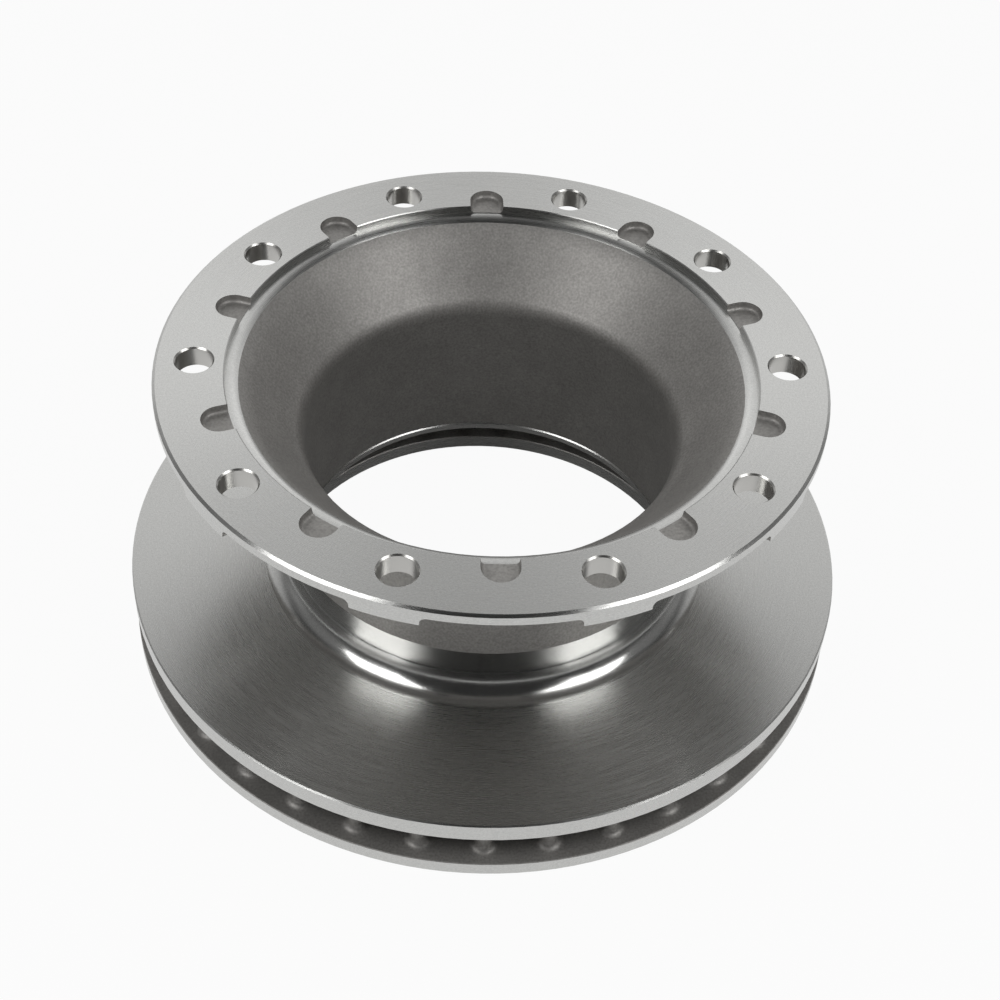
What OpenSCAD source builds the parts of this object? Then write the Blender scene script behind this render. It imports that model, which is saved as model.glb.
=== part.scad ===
// Ventilated brake disc for a heavy trailer axle, one grey-iron casting turned on its working faces.
// Millimetres, +Z along the axle. Z = 0 is the free friction face, and the flange face is at the top.

/* [Friction ring] */
// Diameter of the friction ring
disc_d = 430; // [410:1:440]
// Thickness of the plate that carries the hat
upper_plate_t = 12.6; // [10:0.1:15]
// Height of the air gap between the two plates
vent_gap = 22.7; // [16:0.1:26]
// Thickness of the free plate
lower_plate_t = 9.7; // [8:0.1:14]
// Bore of the free plate
ring_bore_d = 260; // [250:1:266]
// Turned chamfer on the rims of both plates
rim_chamfer = 0.8; // [0.4:0.1:1.5]
// Break on the cast edges that face the air gap
gap_edge = 0.5; // [0.3:0.1:1]

/* [Vanes] */
// Number of vanes between the plates
vane_count = 35; // [30:1:38]
// Thickness of a vane between its ends
vane_t = 9.2; // [6:0.1:11]
// Diameter of the round nose at the outer end of a vane
nose_d = 10.2; // [7:0.1:12]
// Diameter of the round inner end of a vane
tail_d = 8; // [6:0.1:9]
// Distance from the rim of the disc to the tip of a nose
nose_setback = 9; // [8:0.5:14]
// Diameter of the circle that the inner ends reach
vane_inner_d = 278; // [272:1:300]
// Cast fillet where a vane meets a plate
vane_root_r = 4.2; // [2:0.1:5]
// Turn of the first vane from the first bolt hole, in degrees
vane_phase = 1.5; // [0:0.1:10]

/* [Hat] */
// Height of the whole disc, from free friction face to flange face
total_h = 186; // [172:1:200]
// Diameter of the cast throat at its narrowest, just below the bowl
throat_d = 216; // [210:1:222]
// Height at which the throat ends and the bowl begins
throat_top = 133; // [126:1:138]
// Lean of the throat, which widens downwards, in degrees
throat_draft = 4; // [2:0.5:5]
// Wall of the hat
hat_wall = 10.3; // [9:0.1:12]
// Radius of the shoulder between throat and bowl
shoulder_r = 16; // [14:1:20]
// Steepest lean of the bowl, in degrees from the axle
bowl_lean = 47; // [44:1:50]
// Radius of the bowl above the shoulder
bowl_r = 60; // [50:1:70]
// Lean of the bowl's upper wall, in degrees from the axle
wall_lean = 40; // [37:0.5:42]
// Diameter of the turned lip at the foot of the throat
lip_d = 228; // [222:1:230]
// Height of that lip
lip_h = 3.5; // [2:0.5:6]
// Height of the bevel between the lip and the throat
lip_bevel = 0.8; // [0.5:0.1:1.5]

/* [Neck] */
// Fillet between the neck and the friction face
neck_fillet_r = 14; // [8:0.5:16]
// Depth to which the neck is turned below the cast skin
neck_skim = 0.8; // [0.4:0.1:1.2]
// Height of the turned band on the neck, above its fillet
neck_band_h = 19; // [8:1:24]
// Width of the fine line that the turning tool leaves above the fillet
tool_line_w = 1.2; // [0.8:0.1:2]
// Depth of that line
tool_line_depth = 0.5; // [0.3:0.1:0.6]

/* [Flange] */
// Outside diameter of the mounting flange
flange_d = 380; // [374:1:390]
// Thickness of the flange at its bolt bosses
flange_t = 12.5; // [11:0.5:16]
// Width of the turned chamfer round the flange face
face_chamfer = 1.7; // [1:0.1:2.5]
// Depth of the same chamfer
face_chamfer_h = 1.2; // [0.8:0.1:2]
// Fillet between the hat and the underside of the flange
flange_fillet_r = 8; // [4:0.5:10]
// Diameter of the register bore that centres the disc on its hub
register_d = 301; // [299:0.5:303]
// Depth of the register bore
register_depth = 5; // [4:0.1:6]
// Chamfer at the mouth of the register bore
register_chamfer = 0.5; // [0.3:0.1:1]
// Width of the flat seat at the foot of the register
seat_w = 4; // [3:0.1:5]
// Width of the turned land between the seat and the cast bowl
land_w = 3.5; // [2:0.1:5]
// Drop of that land towards the axle
land_drop = 1.8; // [0.8:0.1:2.5]

/* [Bolt holes] */
// Number of bolt holes
bolt_count = 10; // [10:1:10]
// Pitch circle of the bolt holes
bolt_pcd = 335; // [333:0.5:338]
// Diameter of a bolt hole
bolt_hole_d = 21; // [18:0.5:23]
// Chamfer at the mouth of a bolt hole
bolt_chamfer = 0.9; // [0.5:0.1:1.6]

/* [Cast recesses] */
// Width of a recess in the flange face, where it opens on the face
scallop_w = 20.6; // [16:0.2:23]
// Radius from the axle to the blind end of a recess
scallop_reach = 167.3; // [164:0.1:168]
// Height of a recess's floor above the seat of the register
scallop_rise = 0.4; // [0.2:0.1:0.8]
// Lean of a recess's sides, in degrees
scallop_draft = 10; // [6:1:14]
// Rounding between a recess's sides and its floor
scallop_edge_r = 2.5; // [1.5:0.1:2.8]
// Depth of the pockets that are cast in the flange's underside
pocket_depth = 6.2; // [6.1:0.1:7]
// Width of the bolt boss that is left between two pockets
boss_w = 37; // [32:0.5:42]
// Diameter of the circle where the pockets begin
pocket_inner_d = 344; // [342:1:350]
// Fillet between a pocket's roof and the bosses beside it
pocket_fillet_r = 3.6; // [2:0.2:4.4]
// Fillet between a pocket's roof and its inner wall
pocket_wall_fillet_r = 5.2; // [4.8:0.1:6]
// Rounding of a boss's lower edges
boss_edge_r = 1.6; // [1:0.1:1.8]

/* [Hidden] */
$fn = 144;
iron = [0.56, 0.56, 0.55];
arc_step = 6;
root_step = 18;
overlap = 0.6;
past = 2;

rim_r = disc_d / 2;
gap_floor = lower_plate_t;
gap_roof = lower_plate_t + vent_gap;
ring_t = gap_roof + upper_plate_t;
throat_r = throat_d / 2;
lip_r = lip_d / 2;
register_r = register_d / 2;
flange_r = flange_d / 2;
underside = total_h - flange_t;
register_foot = total_h - register_depth;
seat_inner_r = register_r - seat_w;
land_inner_r = seat_inner_r - land_w;
pitch = 360 / bolt_count;

// Centres of the shoulder and bowl arcs, and foot of the outer wall above them, as [radius, height]
shoulder_centre = [throat_r + shoulder_r, throat_top];
bowl_centre = shoulder_centre + (shoulder_r + bowl_r) * [-cos(bowl_lean), sin(bowl_lean)];
wall_foot = bowl_centre + (bowl_r + hat_wall) * [cos(wall_lean), -sin(wall_lean)];

// Foot of the throat, neck as cast and as turned, and the height of its fine tool line
foot_z = gap_roof + lip_h + lip_bevel;
line_z = ring_t + neck_fillet_r;
band_top = line_z + neck_band_h;
skin_r = throat_wall_r(hat_wall, band_top);
neck_r = skin_r - neck_skim;

// Centre of the fillet under the flange, which touches the leaning outer wall
fillet_z = underside - flange_fillet_r;
wall_r_there = wall_foot[0] + (fillet_z - wall_foot[1]) * tan(wall_lean);
fillet_centre = [wall_r_there + flange_fillet_r / cos(wall_lean), fillet_z];

// Floor of a recess, and centre of the rounding beside it, as [half width, height]
scallop_floor = register_foot + scallop_rise;
round_drop = total_h - scallop_floor - scallop_edge_r;
round_half_w = scallop_w / 2 - (scallop_edge_r + round_drop * sin(scallop_draft)) / cos(scallop_draft);
round_centre = [round_half_w, scallop_floor + scallop_edge_r];

// Pockets under the flange
pocket_inner_r = pocket_inner_d / 2;
pocket_roof = underside + pocket_depth;

// Points of an arc about centre c, from angle a to angle b in equal steps, counted from the radius axis
function arc(c, r, a, b, step = arc_step) =
    let (steps = ceil(abs(b - a) / step))
    [for (i = [0:steps]) c + r * [cos(a + (b - a) * i / steps), sin(a + (b - a) * i / steps)]];

// Radius of the drafted throat at height z, or of a surface that lies a given depth inside its wall
function throat_wall_r(depth, z) =
    shoulder_centre[0] + (throat_top - z) * tan(throat_draft) - (shoulder_r - depth) / cos(throat_draft);

// Inside of the hat, from the air gap up to the flange face
function inner_line() = concat(
    [
        [lip_r, gap_roof],
        [lip_r, gap_roof + lip_h],
        [throat_wall_r(0, foot_z), foot_z]
    ],
    arc(shoulder_centre, shoulder_r, 180 + throat_draft, 180 - bowl_lean),
    arc(bowl_centre, bowl_r, -bowl_lean, -wall_lean),
    [
        [land_inner_r, register_foot - land_drop],
        [seat_inner_r, register_foot],
        [register_r, register_foot],
        [register_r, total_h - register_chamfer],
        [register_r + register_chamfer, total_h]
    ]
);

// Outside of the casting, from the flange face down to the air gap
function outer_line() = concat(
    [
        [flange_r - face_chamfer, total_h],
        [flange_r, total_h - face_chamfer_h],
        [flange_r, underside + rim_chamfer],
        [flange_r - rim_chamfer, underside]
    ],
    arc(fillet_centre, flange_fillet_r, 90, 180 - wall_lean),
    arc(bowl_centre, bowl_r + hat_wall, -wall_lean, -bowl_lean),
    arc(shoulder_centre, shoulder_r - hat_wall, 180 - bowl_lean, 180 + throat_draft),
    [
        [skin_r, band_top],
        [neck_r, band_top - neck_skim],
        [neck_r, line_z + tool_line_w],
        [neck_r - tool_line_depth, line_z + tool_line_w / 2]
    ],
    arc([neck_r + neck_fillet_r, line_z], neck_fillet_r, 180, 270),
    [
        [rim_r - rim_chamfer, ring_t],
        [rim_r, ring_t - rim_chamfer],
        [rim_r, gap_roof + gap_edge],
        [rim_r - gap_edge, gap_roof]
    ]
);

// Hat, flange and upper friction plate as one turned section
module upper_casting() {
    rotate_extrude() polygon(concat(inner_line(), outer_line()));
}

// Free friction plate below the air gap
module lower_plate() {
    bore_r = ring_bore_d / 2;
    rotate_extrude() polygon([
        [bore_r, rim_chamfer],
        [bore_r + rim_chamfer, 0],
        [rim_r - rim_chamfer, 0],
        [rim_r, rim_chamfer],
        [rim_r, gap_floor - gap_edge],
        [rim_r - gap_edge, gap_floor],
        [bore_r + gap_edge, gap_floor],
        [bore_r, gap_floor - gap_edge]
    ]);
}

// Half width of a vane's section against height: fillet, straight web, fillet
function web_side(half_w) = concat(
    [[half_w + vane_root_r, gap_floor - overlap]],
    arc([half_w + vane_root_r, gap_floor + vane_root_r], vane_root_r, 270, 180, root_step),
    arc([half_w + vane_root_r, gap_roof - vane_root_r], vane_root_r, 180, 90, root_step),
    [[half_w + vane_root_r, gap_roof + overlap]]
);

// Round end of a vane, waisted between the plates like a cotton reel
module vane_end(d) {
    rotate_extrude() polygon(concat(
        [[0, gap_floor - overlap]],
        web_side(d / 2),
        [[0, gap_roof + overlap]]
    ));
}

// One vane along +X: the web with filleted roots, its round nose and its round tail
module vane() {
    nose_x = rim_r - nose_setback - nose_d / 2;
    tail_x = vane_inner_d / 2 + tail_d / 2;
    side = web_side(vane_t / 2);
    far_side = [for (i = [len(side) - 1:-1:0]) [-side[i][0], side[i][1]]];
    translate([tail_x, 0, 0]) rotate([90, 0, 90])
        linear_extrude(height = nose_x - tail_x) polygon(concat(side, far_side));
    translate([nose_x, 0, 0]) vane_end(nose_d);
    translate([tail_x, 0, 0]) vane_end(tail_d);
}

// Ring of vanes that joins the two plates
module vane_ring() {
    for (i = [0:vane_count - 1]) rotate([0, 0, vane_phase + i * 360 / vane_count]) vane();
}

// Bolt hole on the +X axis, with a chamfer at the flange face
module bolt_hole() {
    flare = 2 * bolt_chamfer;
    translate([bolt_pcd / 2, 0, underside - past]) cylinder(d = bolt_hole_d, h = flange_t + 2 * past);
    translate([bolt_pcd / 2, 0, total_h - bolt_chamfer])
        cylinder(d1 = bolt_hole_d, d2 = bolt_hole_d + 2 * flare, h = flare);
}

// Half width of a recess against height: drafted side, then the rounding down to the floor
function scallop_side() = concat(
    [[scallop_w / 2 + past * tan(scallop_draft), total_h + past]],
    arc(round_centre, scallop_edge_r, -scallop_draft, -90, root_step)
);

// Recess in the flange face along +X, open to the register and round at its blind end
module scallop() {
    end_x = scallop_reach - scallop_w / 2;
    side = scallop_side();
    far_side = [for (i = [len(side) - 1:-1:0]) [-side[i][0], side[i][1]]];
    translate([seat_inner_r, 0, 0]) rotate([90, 0, 90])
        linear_extrude(height = end_x - seat_inner_r) polygon(concat(side, far_side));
    translate([end_x, 0, 0]) rotate_extrude()
        polygon(concat([[0, total_h + past]], side, [[0, scallop_floor]]));
}

// Half width of the boss round a bolt hole against height: rounded lower edge, side, fillet at the roof
function boss_side() =
    let (half_w = boss_w / 2)
    concat(
        [[half_w - boss_edge_r, underside - 2 * past]],
        arc([half_w - boss_edge_r, underside + boss_edge_r], boss_edge_r, -90, 0, root_step),
        arc([half_w + pocket_fillet_r, pocket_roof - pocket_fillet_r], pocket_fillet_r, 180, 90, root_step),
        [[half_w + pocket_fillet_r, pocket_roof + past]]
    );

// Boss along +X, as a bar that runs past both walls of the pockets
module boss() {
    side = boss_side();
    far_side = [for (i = [len(side) - 1:-1:0]) [-side[i][0], side[i][1]]];
    start = pocket_inner_r - boss_w / 2;
    translate([start, 0, 0]) rotate([90, 0, 90])
        linear_extrude(height = flange_r + 2 * past - start) polygon(concat(side, far_side));
}

// Pockets in the flange's underside: a rounded ring, without the bosses
module pockets() {
    fillet_at = [pocket_inner_r + pocket_wall_fillet_r, pocket_roof - pocket_wall_fillet_r];
    difference() {
        rotate_extrude() polygon(concat(
            [
                [flange_r + past, underside - past],
                [flange_r + past, pocket_roof]
            ],
            arc(fillet_at, pocket_wall_fillet_r, 90, 180, root_step),
            [[pocket_inner_r, underside - past]]
        ));
        for (i = [0:bolt_count - 1]) rotate([0, 0, i * pitch]) boss();
    }
}

module brake_disc() {
    color(iron) difference() {
        union() {
            upper_casting();
            lower_plate();
            vane_ring();
        }
        for (i = [0:bolt_count - 1]) rotate([0, 0, i * pitch]) bolt_hole();
        for (i = [0:bolt_count - 1]) rotate([0, 0, (i + 0.5) * pitch]) scallop();
        pockets();
    }
}

brake_disc();
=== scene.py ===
import math

import bpy
import numpy as np
from mathutils import Matrix, Vector


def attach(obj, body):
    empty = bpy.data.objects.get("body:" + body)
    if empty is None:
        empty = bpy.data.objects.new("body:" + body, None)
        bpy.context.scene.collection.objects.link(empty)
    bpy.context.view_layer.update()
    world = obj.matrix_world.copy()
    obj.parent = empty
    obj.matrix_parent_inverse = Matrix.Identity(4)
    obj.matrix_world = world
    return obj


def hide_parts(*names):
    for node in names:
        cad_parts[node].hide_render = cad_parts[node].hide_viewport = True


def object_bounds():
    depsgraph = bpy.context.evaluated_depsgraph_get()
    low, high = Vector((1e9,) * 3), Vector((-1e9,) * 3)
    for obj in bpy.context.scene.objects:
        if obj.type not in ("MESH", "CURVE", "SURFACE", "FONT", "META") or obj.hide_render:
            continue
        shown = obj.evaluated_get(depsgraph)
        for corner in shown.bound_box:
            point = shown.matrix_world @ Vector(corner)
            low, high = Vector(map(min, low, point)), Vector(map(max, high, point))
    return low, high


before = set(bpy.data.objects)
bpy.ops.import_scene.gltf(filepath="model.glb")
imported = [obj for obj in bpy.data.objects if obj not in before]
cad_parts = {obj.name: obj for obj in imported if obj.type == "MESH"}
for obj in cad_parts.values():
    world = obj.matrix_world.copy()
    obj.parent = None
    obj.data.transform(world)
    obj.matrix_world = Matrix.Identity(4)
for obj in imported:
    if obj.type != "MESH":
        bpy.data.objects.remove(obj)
cad_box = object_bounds()


# Camera.
# It looks down on the flange end from 45 degrees, over the gap between two bolts, and leans a little to
# the left, as the photograph was taken. The lens and place come from the ten bolt holes and four rims.
CAMERA_AT = (-0.0438, -0.7666, 0.8393)
CAMERA_LOOKS = (0.0481, 0.7086, -0.7040)
CAMERA_ROLL = math.radians(3.24)
CAMERA_LENS = 64.2


def aim_camera(place, looks, roll, lens):
    """A camera at place looking along looks, turned by roll about that line."""
    data = bpy.data.cameras.new("camera")
    data.sensor_width = 36
    data.lens = lens
    data.clip_start, data.clip_end = 0.05, 50
    camera = bpy.data.objects.new("camera", data)
    bpy.context.scene.collection.objects.link(camera)
    ahead = Vector(looks).normalized()
    right = ahead.cross(Vector((0, 0, 1))).normalized()
    up = right.cross(ahead)
    leaning_right = math.cos(roll) * right + math.sin(roll) * up
    leaning_up = math.cos(roll) * up - math.sin(roll) * right
    turn = Matrix((leaning_right, leaning_up, -ahead)).transposed()
    camera.matrix_world = Matrix.Translation(place) @ turn.to_4x4()
    bpy.context.scene.camera = camera


aim_camera(CAMERA_AT, CAMERA_LOOKS, CAMERA_ROLL, CAMERA_LENS)


# Casting.
# The disc is one grey-iron sand casting. Its faces, rims, neck and register are turned on a lathe and its
# bolt holes are drilled, and the hat, the air gap, the vanes and the recesses keep the skin of the mould.
RING_T = 0.045
RIM_R = 0.215
PLATE_LOW = 0.0097
PLATE_HIGH = 0.0324
RING_BORE_R = 0.130
NECK_FOOT_R = 0.1364
NECK_R = 0.1209
NECK_TURNED_TOP = 0.0779
LIP_R = 0.114
LIP_TOP = 0.0366
FLANGE_R = 0.190
FLANGE_T = 0.0125
REGISTER_R = 0.1505
REGISTER_DEPTH = 0.005
LAND_R = 0.143
LAND_DROP = 0.0018
BOLT_CIRCLE_R = 0.1675
BOLT_MOUTH_R = 0.0119
BOLT_COUNT = 10
SHARP_ANGLE = math.radians(28)
WELD = 2e-6
LEVEL = 0.99
TOUCH = 1e-4
PLATE_EDGE = 0.0006
RIM_EDGE = 0.0012
FLANGE_EDGE = 0.0018
TURNED, CAST, DRILLED, FINE_TURNED = 0, 1, 2, 3


def welded_triangles(source):
    """Corner points and triangles of a mesh after points closer than WELD are made one."""
    count = len(source.vertices)
    points = np.empty(count * 3)
    source.vertices.foreach_get("co", points)
    points = points.reshape(-1, 3)
    source.calc_loop_triangles()
    corners = np.empty(len(source.loop_triangles) * 3, np.int64)
    source.loop_triangles.foreach_get("vertices", corners)
    keys = np.round(points / WELD).astype(np.int64)
    _, first, same = np.unique(keys, axis=0, return_index=True, return_inverse=True)
    triangles = same.reshape(-1)[corners].reshape(-1, 3)
    a, b, c = triangles.T
    whole = (a != b) & (b != c) & (c != a)
    return points[first], triangles[whole]


def finish_of_each(points, triangles):
    """TURNED, FINE_TURNED, CAST or DRILLED for each triangle, from its place and the way that it faces."""
    p = points[triangles]
    middle = p.mean(1)
    normal = np.cross(p[:, 1] - p[:, 0], p[:, 2] - p[:, 0])
    normal /= np.maximum(np.linalg.norm(normal, axis=1, keepdims=True), 1e-20)
    x, y, z = middle.T
    r = np.hypot(x, y)
    level = np.abs(normal[:, 2]) > LEVEL
    top = cad_box[1].z
    turned = level & ((z < TOUCH) | (np.abs(z - RING_T) < TOUCH) | (z > top - TOUCH))
    in_a_plate = (z < PLATE_LOW - PLATE_EDGE) | ((z > PLATE_HIGH + PLATE_EDGE) & (z < RING_T))
    turned |= (r > RIM_R - RIM_EDGE) & in_a_plate
    turned |= (np.abs(r - RING_BORE_R) < 0.001) & (z < PLATE_LOW - PLATE_EDGE)
    neck = (z > RING_T - TOUCH) & (z < NECK_TURNED_TOP) & (r > NECK_R - 1e-3) & (r < NECK_FOOT_R)
    turned |= (r > FLANGE_R - FLANGE_EDGE) & (z > top - FLANGE_T - TOUCH) & (normal[:, 2] > -0.8)
    in_the_register = (r > LAND_R - TOUCH) & (r < REGISTER_R + PLATE_EDGE)
    turned |= in_the_register & (z > top - REGISTER_DEPTH - LAND_DROP - TOUCH)
    turned |= (r < LIP_R + 8e-4) & (z > PLATE_HIGH) & (z < LIP_TOP) & ~level
    angle = np.arctan2(y, x)
    step = 2 * math.pi / BOLT_COUNT
    off = angle - np.round(angle / step) * step
    from_bolt = np.hypot(r * np.cos(off) - BOLT_CIRCLE_R, r * np.sin(off))
    drilled = (from_bolt < BOLT_MOUTH_R) & (np.abs(normal[:, 2]) < LEVEL) & (z > top - FLANGE_T - 1e-3)
    finish = np.full(len(triangles), CAST)
    finish[turned] = TURNED
    finish[drilled] = DRILLED
    finish[neck] = FINE_TURNED
    return finish


def iron_casting(name, node):
    """The CAD solid's own surface, welded, with a finish for each face and smooth shading between edges."""
    points, triangles = welded_triangles(node.data)
    mesh = bpy.data.meshes.new(name)
    mesh.from_pydata(points.tolist(), [], triangles.tolist())
    mesh.update()
    mesh.polygons.foreach_set("material_index", finish_of_each(points, triangles).astype(np.int32))
    mesh.shade_smooth()
    mesh.set_sharp_from_angle(angle=SHARP_ANGLE)
    piece = bpy.data.objects.new(name, mesh)
    bpy.context.scene.collection.objects.link(piece)
    return piece


def hex_colour(code):
    """sRGB hex to the linear values that the shader takes."""
    srgb = np.array([int(code[i:i + 2], 16) for i in (1, 3, 5)]) / 255
    linear = np.where(srgb <= 0.04045, srgb / 12.92, ((srgb + 0.055) / 1.055) ** 2.4)
    return (*linear.tolist(), 1.0)


def add(tree, kind, settings=None, **links):
    """A new node of that kind, with its settings, whose inputs take values or other nodes' outputs.

    A link is given by the input's name, or as i and its number where names repeat.
    """
    new = tree.nodes.new(kind)
    for key, value in (settings or {}).items():
        setattr(new, key, value)
    for key, value in links.items():
        numbered = key[0] == "i" and key[1:].isdigit()
        socket = new.inputs[int(key[1:])] if numbered else new.inputs[key.replace("_", " ")]
        if isinstance(value, bpy.types.NodeSocket):
            tree.links.new(value, socket)
        else:
            socket.default_value = value
    return new


def new_material(name):
    """An empty node material and its tree."""
    material = bpy.data.materials.new(name)
    material.use_nodes = True
    material.node_tree.nodes.clear()
    return material, material.node_tree


def tool_rings(tree, cell, arc):
    """Noise drawn out along the lathe's rings: cell is its size across them in metres, arc along them in
    radians.

    Its point is the way out from the axle, divided by arc, lifted by (radius plus height) divided by cell.
    """
    place = add(tree, "ShaderNodeTexCoord").outputs["Object"]
    level = add(tree, "ShaderNodeVectorMath", {"operation": "MULTIPLY"}, i0=place, i1=(1, 1, 0)).outputs[0]
    radius = add(tree, "ShaderNodeVectorMath", {"operation": "LENGTH"}, i0=level).outputs["Value"]
    height = add(tree, "ShaderNodeSeparateXYZ", i0=place).outputs["Z"]
    along = add(tree, "ShaderNodeMath", {"operation": "ADD"}, i0=radius, i1=height).outputs[0]
    across = add(tree, "ShaderNodeMath", {"operation": "DIVIDE"}, i0=along, i1=cell).outputs[0]
    out_way = add(tree, "ShaderNodeVectorMath", {"operation": "NORMALIZE"}, i0=level).outputs[0]
    around = add(tree, "ShaderNodeVectorMath", {"operation": "SCALE"}, i0=out_way, Scale=1 / arc).outputs[0]
    lift = add(tree, "ShaderNodeCombineXYZ", Z=across).outputs[0]
    where = add(tree, "ShaderNodeVectorMath", {"operation": "ADD"}, i0=around, i1=lift).outputs[0]
    return add(tree, "ShaderNodeTexNoise", Vector=where, Scale=1.0, Detail=2.0).outputs["Fac"]


def turned_grey_iron(name, smoothest, roughest):
    """Grey iron after turning: pale and satin, with highlights drawn out across the tool's rings.

    The rings are 0.45 mm apart, a little coarser than a real feed, so that they show, and the roughness goes
    from smoothest to roughest with them. Fine specks are graphite.
    """
    material, tree = new_material(name)
    place = add(tree, "ShaderNodeTexCoord").outputs["Object"]
    rings = tool_rings(tree, cell=0.00045, arc=0.14)
    specks = add(tree, "ShaderNodeTexNoise", Vector=place, Scale=1 / 0.0011, Detail=2.0).outputs["Fac"]
    ring_tone = add(tree, "ShaderNodeMapRange", i0=rings, i1=0.3, i2=0.7, i3=0.97, i4=1.03).outputs[0]
    speck_tone = add(tree, "ShaderNodeMapRange", i0=specks, i1=0.3, i2=0.7, i3=0.93, i4=1.07).outputs[0]
    tone = add(tree, "ShaderNodeMath", {"operation": "MULTIPLY"}, i0=ring_tone, i1=speck_tone).outputs[0]
    metal = hex_colour("#BEBEBC")[:3]
    colour = add(tree, "ShaderNodeVectorMath", {"operation": "SCALE"}, i0=metal, Scale=tone)
    rough = add(tree, "ShaderNodeMapRange", i0=rings, i1=0.3, i2=0.7, i3=smoothest, i4=roughest).outputs[0]
    bump = add(tree, "ShaderNodeBump", Strength=0.12, Distance=2e-5, Height=rings).outputs[0]
    shader = add(tree, "ShaderNodeBsdfPrincipled", Metallic=1.0, Roughness=rough, Anisotropic=0.8,
                 Base_Color=colour.outputs[0], Normal=bump)
    around = add(tree, "ShaderNodeVectorMath", {"operation": "CROSS_PRODUCT"}, i0=(0, 0, 1), i1=place)
    around = around.outputs[0]
    normal = add(tree, "ShaderNodeNewGeometry").outputs["Normal"]
    across = add(tree, "ShaderNodeVectorMath", {"operation": "CROSS_PRODUCT"}, i0=around, i1=normal)
    across = add(tree, "ShaderNodeVectorMath", {"operation": "NORMALIZE"}, i0=across.outputs[0])
    tree.links.new(across.outputs[0], shader.inputs["Tangent"])
    out = add(tree, "ShaderNodeOutputMaterial")
    tree.links.new(shader.outputs[0], out.inputs[0])
    return material


def cast_grey_iron():
    """Grey iron as it left the sand mould and the shot blast: dark and dull, with a skin like fine sandpaper.

    The sand's grain is 1.4 mm here, coarser than the real half millimetre, so that it shows.
    """
    material, tree = new_material("cast_grey_iron")
    place = add(tree, "ShaderNodeTexCoord").outputs["Object"]
    sand = add(tree, "ShaderNodeTexNoise", Vector=place, Scale=1 / 0.0014, Detail=3.0).outputs["Fac"]
    clouds = add(tree, "ShaderNodeTexNoise", Vector=place, Scale=1 / 0.018, Detail=2.0).outputs["Fac"]
    sand_tone = add(tree, "ShaderNodeMapRange", i0=sand, i1=0.3, i2=0.7, i3=0.82, i4=1.18).outputs[0]
    cloud_tone = add(tree, "ShaderNodeMapRange", i0=clouds, i1=0.3, i2=0.7, i3=0.95, i4=1.05).outputs[0]
    tone = add(tree, "ShaderNodeMath", {"operation": "MULTIPLY"}, i0=sand_tone, i1=cloud_tone).outputs[0]
    skin = hex_colour("#989693")[:3]
    colour = add(tree, "ShaderNodeVectorMath", {"operation": "SCALE"}, i0=skin, Scale=tone)
    bump = add(tree, "ShaderNodeBump", Strength=0.6, Distance=1.2e-4, Height=sand).outputs[0]
    shader = add(tree, "ShaderNodeBsdfPrincipled", Metallic=0.7, Roughness=0.52,
                 Base_Color=colour.outputs[0], Normal=bump)
    out = add(tree, "ShaderNodeOutputMaterial")
    tree.links.new(shader.outputs[0], out.inputs[0])
    return material


def drilled_grey_iron():
    """Grey iron inside a drilled hole: brighter than the skin, with the drill's fine rings down its wall.

    The noise is 25 mm long round the hole and 0.35 mm down it.
    """
    material, tree = new_material("drilled_grey_iron")
    place = add(tree, "ShaderNodeTexCoord").outputs["Object"]
    drawn_out = add(tree, "ShaderNodeVectorMath", {"operation": "MULTIPLY"}, i0=place, i1=(40, 40, 2900))
    rings = add(tree, "ShaderNodeTexNoise", Vector=drawn_out.outputs[0], Scale=1.0, Detail=2.0).outputs["Fac"]
    bump = add(tree, "ShaderNodeBump", Strength=0.4, Distance=3e-5, Height=rings).outputs[0]
    shader = add(tree, "ShaderNodeBsdfPrincipled", Metallic=1.0, Roughness=0.28,
                 Base_Color=hex_colour("#B4B3B0"), Normal=bump)
    out = add(tree, "ShaderNodeOutputMaterial")
    tree.links.new(shader.outputs[0], out.inputs[0])
    return material


disc = iron_casting("brake_disc_casting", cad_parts["brake_disc"])
disc.data.materials.append(turned_grey_iron("turned_grey_iron", 0.24, 0.32))
disc.data.materials.append(cast_grey_iron())
disc.data.materials.append(drilled_grey_iron())
disc.data.materials.append(turned_grey_iron("fine_turned_grey_iron", 0.14, 0.20))
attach(disc, "root")
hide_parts("brake_disc")


# Studio.
# White paper on the floor, a dim room with a pale wall behind the disc, and a soft panel at each side of
# the camera. The turned faces show all of it, so their shading and the neck's two highlights come from here.
FLOOR_SIZE = 8.0
FLOOR_WHITE = 0.95
PAPER_GREY = 0.5
ROOM_LIGHT = 0.04
GLOW_HALF_ANGLE = math.radians(31)
GLOWS = (
    (0, 5, 0.22), (-30, 5, 0.38), (30, 5, 0.38), (-60, 5, 0.22), (60, 5, 0.22),
    (0, 30, 0.66), (-30, 30, 0.68), (30, 30, 0.68), (-90, 30, 0.19), (90, 30, 0.19),
    (0, 55, 0.10),
)
PANEL_SIZE = (0.7, 0.8)
PANEL_DISTANCE = 1.5
PANEL_AIM = Vector((0, 0, 0.09))


def direction(azimuth, elevation):
    """Unit vector that many degrees clockwise from +Y, seen from above, and above level."""
    a, e = math.radians(azimuth), math.radians(elevation)
    return Vector((math.sin(a) * math.cos(e), math.cos(a) * math.cos(e), math.sin(e)))


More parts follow.
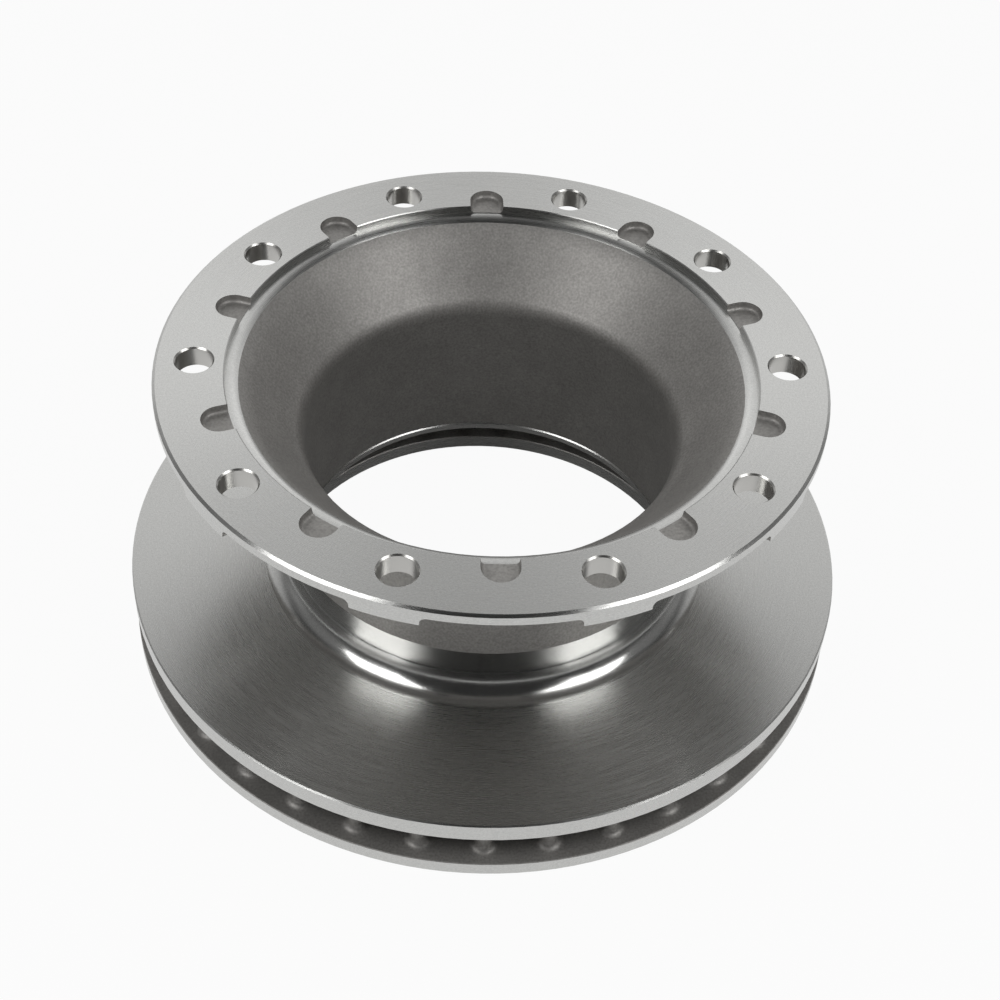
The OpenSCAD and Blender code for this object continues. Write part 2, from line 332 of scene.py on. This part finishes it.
def studio_floor():
    """A flat white floor just below the disc, which the camera and the metal see as white paper.

    The metal sees it white from the rim outwards only, because under the disc the paper is in shadow.
    """
    half, low = FLOOR_SIZE / 2, -0.0002
    mesh = bpy.data.meshes.new("floor")
    corners = [(-half, -half, low), (half, -half, low), (half, half, low), (-half, half, low)]
    mesh.from_pydata(corners, [], [(0, 1, 2, 3)])
    floor = bpy.data.objects.new("floor", mesh)
    bpy.context.scene.collection.objects.link(floor)
    material, tree = new_material("white_paper")
    paper = add(tree, "ShaderNodeBsdfDiffuse", Color=(PAPER_GREY, PAPER_GREY, PAPER_GREY, 1)).outputs[0]
    white = add(tree, "ShaderNodeEmission", Color=(1, 1, 1, 1), Strength=1.0).outputs[0]
    ray = add(tree, "ShaderNodeLightPath").outputs
    place = add(tree, "ShaderNodeTexCoord").outputs["Object"]
    radius = add(tree, "ShaderNodeVectorMath", {"operation": "LENGTH"}, i0=place).outputs["Value"]
    outside = add(tree, "ShaderNodeMapRange", i0=radius, i1=RIM_R - 0.01, i2=RIM_R).outputs[0]
    glossy = add(tree, "ShaderNodeMath", {"operation": "MULTIPLY"}, i0=ray["Is Glossy Ray"], i1=outside)
    camera = ray["Is Camera Ray"]
    through = ray["Is Transmission Ray"]
    seen = add(tree, "ShaderNodeMath", {"operation": "MAXIMUM"}, i0=camera, i1=glossy.outputs[0])
    seen = add(tree, "ShaderNodeMath", {"operation": "MAXIMUM"}, i0=seen.outputs[0], i1=through)
    share = add(tree, "ShaderNodeMath", {"operation": "MULTIPLY"}, i0=seen.outputs[0], i1=FLOOR_WHITE)
    mixed = add(tree, "ShaderNodeMixShader", i0=share.outputs[0], i1=paper, i2=white).outputs[0]
    out = add(tree, "ShaderNodeOutputMaterial")
    tree.links.new(mixed, out.inputs[0])
    mesh.materials.append(material)


def studio_air():
    """A dim room with soft glows.

    Each is its strength times a smooth step of the cosine of the angle from its own direction.
    """
    world = bpy.data.worlds.new("studio")
    world.use_nodes = True
    tree = world.node_tree
    tree.nodes.clear()
    way = add(tree, "ShaderNodeTexCoord").outputs["Generated"]
    light = ROOM_LIGHT
    for azimuth, elevation, strength in GLOWS:
        toward = direction(azimuth, elevation)
        near = add(tree, "ShaderNodeVectorMath", {"operation": "DOT_PRODUCT"}, i0=way, i1=toward)
        glow = add(tree, "ShaderNodeMapRange", {"interpolation_type": "SMOOTHSTEP"}, i0=near.outputs["Value"],
                   i1=math.cos(GLOW_HALF_ANGLE), i2=1.0, i3=0.0, i4=strength).outputs[0]
        light = add(tree, "ShaderNodeMath", {"operation": "ADD"}, i0=glow, i1=light).outputs[0]
    air = add(tree, "ShaderNodeBackground", Color=(1, 1, 1, 1), Strength=light).outputs[0]
    out = add(tree, "ShaderNodeOutputWorld")
    tree.links.new(air, out.inputs[0])
    bpy.context.scene.world = world


def soft_panel(name, azimuth, elevation, power):
    """A soft panel of PANEL_SIZE, PANEL_DISTANCE away in that direction, turned to face the disc."""
    data = bpy.data.lights.new(name, "AREA")
    data.shape = "RECTANGLE"
    data.size, data.size_y = PANEL_SIZE
    data.energy = power
    panel = bpy.data.objects.new(name, data)
    away = direction(azimuth, elevation)
    panel.location = PANEL_AIM + PANEL_DISTANCE * away
    panel.rotation_mode = "QUATERNION"
    panel.rotation_quaternion = away.to_track_quat("Z", "Y")
    bpy.context.scene.collection.objects.link(panel)


studio_floor()
studio_air()
soft_panel("panel_left", -124, 43, 8.0)
soft_panel("panel_right", 123, 44, 8.0)
bpy.context.scene.view_settings.view_transform = "Standard"
